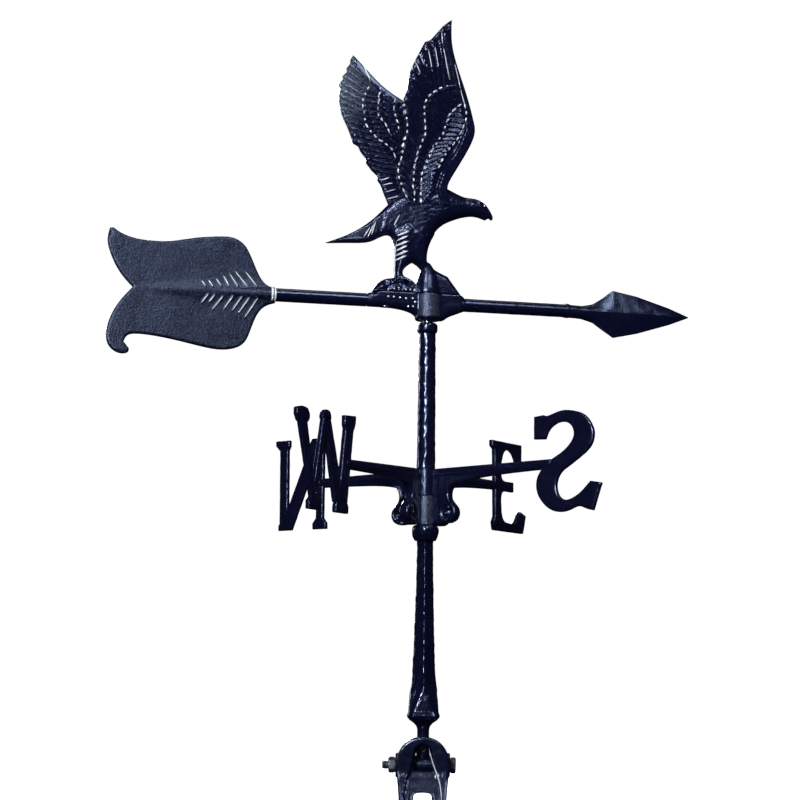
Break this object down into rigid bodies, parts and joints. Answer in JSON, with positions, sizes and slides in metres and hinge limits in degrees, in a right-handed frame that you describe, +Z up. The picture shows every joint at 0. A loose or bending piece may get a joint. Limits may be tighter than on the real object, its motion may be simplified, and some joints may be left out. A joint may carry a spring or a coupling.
{
  "type": "weather vane",
  "caption": "Roof-mounted weather vane: a cast eagle on an arrow that turns in the wind above compass letters, on a faceted post with a folding roof mount.",
  "frame": {"origin": "centre of the roof screw pattern, in the plane of the feet, on the spindle's axis", "axes": "+Z up along the spindle, +X along the pivot bolt towards its head, +Y towards the back leg"},
  "size_m": [0.5582, 0.3196, 0.7872],
  "materials": {
    "powder_coated_casting": "sand-cast aluminium under a dark navy satin powder coat",
    "dark_zinc_hardware": "black zinc plating",
    "spindle_steel": "drawn steel rod",
    "bush_nylon": "natural nylon"
  },
  "bodies": {
    "post": {"spindle_rod": "spindle_steel", "thrust_ball": "spindle_steel", "upper_spacer": "powder_coated_casting", "collar_ball": "powder_coated_casting", "collar_set_screw": "dark_zinc_hardware", "lower_column": "powder_coated_casting", "mount_socket": "powder_coated_casting", "socket_set_screw": "dark_zinc_hardware", "pivot_bolt": "dark_zinc_hardware", "pivot_nut": "dark_zinc_hardware"},
    "vane": {"arrow_hub": "powder_coated_casting", "ornament_screws": "dark_zinc_hardware", "hub_bush": "bush_nylon", "rear_rod": "powder_coated_casting", "front_rod": "powder_coated_casting", "arrow_tail": "powder_coated_casting", "arrow_head": "powder_coated_casting", "eagle": "powder_coated_casting"},
    "compass": {"north_south_letters": "powder_coated_casting", "east_west_letters": "powder_coated_casting", "compass_set_screws": "dark_zinc_hardware"},
    "front_leg": {"front_leg": "powder_coated_casting"},
    "back_leg": {"back_leg": "powder_coated_casting"}
  },
  "joints": [
    {"name": "vane_spin", "type": "hinge", "parent": "post", "child": "vane", "pos_m": [0, 0, 0.5144], "axis": [0, 0, 1], "continuous": true},
    {"name": "compass_turn", "type": "hinge", "parent": "post", "child": "compass", "pos_m": [0, 0, 0.347], "axis": [0, 0, 1], "continuous": true},
    {"name": "front_leg_fold", "type": "hinge", "parent": "post", "child": "front_leg", "pos_m": [0, 0, 0.076], "axis": [1, 0, 0], "range_deg": [0, 30]},
    {"name": "back_leg_fold", "type": "hinge", "parent": "post", "child": "back_leg", "pos_m": [0, 0, 0.076], "axis": [-1, 0, 0], "range_deg": [0, 30]}
  ]
}
